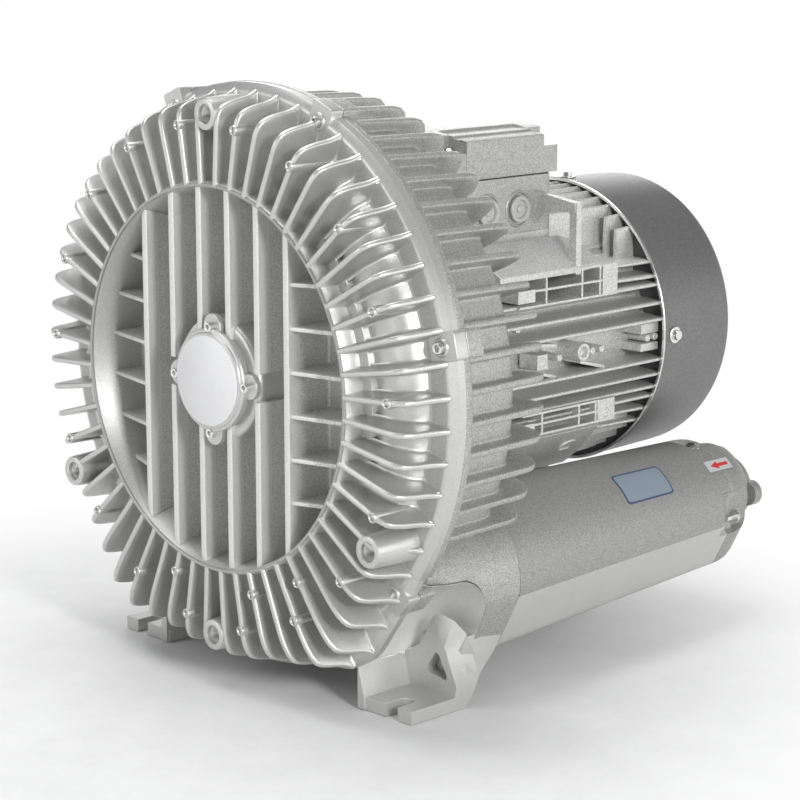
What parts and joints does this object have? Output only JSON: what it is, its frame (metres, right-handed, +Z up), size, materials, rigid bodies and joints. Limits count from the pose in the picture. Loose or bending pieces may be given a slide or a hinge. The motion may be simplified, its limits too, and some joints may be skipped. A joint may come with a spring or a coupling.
{
  "type": "side channel blower",
  "caption": "Side channel blower with a finned ring casting, V-bladed impeller, finned electric motor, terminal box and two silencers with threaded ports.",
  "frame": {"origin": "on the ground, midway between the ends of the two front foot slots", "axes": "+Y along the shaft from the finned cover to the fan cover, +Z up, +X to the side with the cable entries"},
  "size_m": [0.5536, 0.5935, 0.5689],
  "materials": {
    "cast_aluminium": "rough sand cast",
    "impeller_aluminium": "machined",
    "zinc_steel": "zinc plated",
    "pale_disc": "matt",
    "dark_paint": "satin",
    "shaft_steel": "turned",
    "bearing_steel": "ground",
    "core_steel": "laminated",
    "end_ring_aluminium": "cast",
    "winding_enamel": "enamelled",
    "black_rubber": "matt",
    "dark_plastic": "matt",
    "grey_plastic": "matt",
    "stud_brass": "bright",
    "liner_foam": "open cell",
    "galvanised_steel": "galvanised"
  },
  "bodies": {
    "frame": {"front_cover": "cast_aluminium", "cover_screws": "zinc_steel", "hub_cap": "cast_aluminium", "hub_cap_screws": "zinc_steel", "hub_disc": "pale_disc", "blower_housing": "cast_aluminium", "front_shaft_seal": "black_rubber", "drive_shaft_seal": "black_rubber", "stator_core": "core_steel", "stator_winding": "winding_enamel", "motor_frame": "cast_aluminium", "motor_flange_screws": "zinc_steel", "rear_end_shield": "cast_aluminium", "rear_shield_screws": "zinc_steel", "fan_cover": "dark_paint", "fan_cover_screws": "zinc_steel", "terminal_box": "cast_aluminium", "box_gasket": "black_rubber", "box_lid": "cast_aluminium", "box_lid_screws": "zinc_steel", "terminal_board": "dark_plastic", "terminal_studs": "stud_brass", "cable_plugs": "grey_plastic", "rear_foot": "galvanised_steel", "rear_foot_screws": "zinc_steel", "front_bearing_outer_ring": "bearing_steel", "drive_bearing_outer_ring": "bearing_steel", "rear_bearing_outer_ring": "bearing_steel", "wave_spring": "shaft_steel", "inlet_silencer": "cast_aluminium", "outlet_silencer": "cast_aluminium", "inlet_foam": "liner_foam", "outlet_foam": "liner_foam", "inlet_gasket": "black_rubber", "outlet_gasket": "black_rubber", "inlet_end_cap": "cast_aluminium", "outlet_end_cap": "cast_aluminium", "inlet_cap_screws": "zinc_steel", "outlet_cap_screws": "zinc_steel"},
    "rotor": {"motor_shaft": "shaft_steel", "shaft_end_washer": "zinc_steel", "shaft_end_screw": "zinc_steel", "impeller": "impeller_aluminium", "impeller_key": "shaft_steel", "spacer_sleeves": "shaft_steel", "rotor_core": "core_steel", "rotor_end_rings": "end_ring_aluminium", "cooling_fan": "dark_plastic", "fan_clip": "shaft_steel", "front_bearing_inner_ring": "bearing_steel", "drive_bearing_inner_ring": "bearing_steel", "rear_bearing_inner_ring": "bearing_steel"},
    "front_balls": {"front_bearing_balls": "bearing_steel"},
    "drive_balls": {"drive_bearing_balls": "bearing_steel"},
    "rear_balls": {"rear_bearing_balls": "bearing_steel"}
  },
  "joints": [
    {"name": "rotor_turn", "type": "hinge", "parent": "frame", "child": "rotor", "pos_m": [0, 0.2, 0.297], "axis": [0, 1, 0], "continuous": true},
    {"name": "front_balls_turn", "type": "hinge", "parent": "frame", "child": "front_balls", "pos_m": [0, -0.054, 0.297], "axis": [0, 1, 0], "continuous": true},
    {"name": "drive_balls_turn", "type": "hinge", "parent": "frame", "child": "drive_balls", "pos_m": [0, 0.086, 0.297], "axis": [0, 1, 0], "continuous": true},
    {"name": "rear_balls_turn", "type": "hinge", "parent": "frame", "child": "rear_balls", "pos_m": [0, 0.3985, 0.297], "axis": [0, 1, 0], "continuous": true}
  ],
  "couplings": [
    {"joint": "front_balls_turn", "follows": "rotor_turn", "ratio": 0.3963},
    {"joint": "drive_balls_turn", "follows": "rotor_turn", "ratio": 0.4129},
    {"joint": "rear_balls_turn", "follows": "rotor_turn", "ratio": 0.4}
  ]
}
